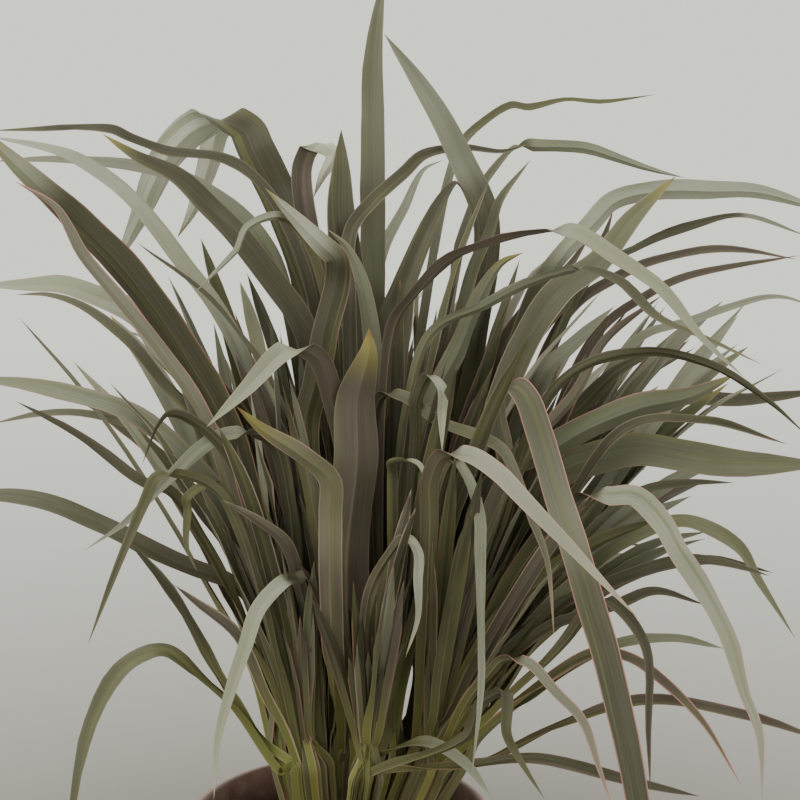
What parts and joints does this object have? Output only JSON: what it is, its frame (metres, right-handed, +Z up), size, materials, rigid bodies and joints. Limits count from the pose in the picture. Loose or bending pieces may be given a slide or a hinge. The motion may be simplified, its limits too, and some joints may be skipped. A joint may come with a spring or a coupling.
{
  "type": "potted new zealand flax",
  "caption": "Potted clump of bronze-green New Zealand flax with pink leaf margins: long keeled strap leaves that rise in fans and fold over, in a round terracotta-coloured plastic pot.",
  "frame": {"origin": "middle of the pot's flat underside", "axes": "+Z up; -Y towards the front of the plant, the side of the long folded leaves; +X to the right as seen from the front"},
  "size_m": [0.84, 0.8641, 1.06],
  "materials": {
    "pot_plastic": "matt moulded plastic, terracotta colour",
    "potting_mix": "damp composted bark",
    "leaf": "tough fibrous leaf with a waxy bloom, grey-green to bronze with pink margins"
  },
  "bodies": {
    "root": {"pot": "pot_plastic", "potting_mix": "potting_mix", "shoot_1": "leaf", "shoot_2": "leaf", "shoot_3": "leaf", "shoot_4": "leaf", "shoot_5": "leaf", "shoot_6": "leaf", "shoot_7": "leaf", "shoot_8": "leaf", "shoot_9": "leaf", "shoot_10": "leaf", "shoot_11": "leaf", "shoot_12": "leaf"}
  },
  "joints": []
}
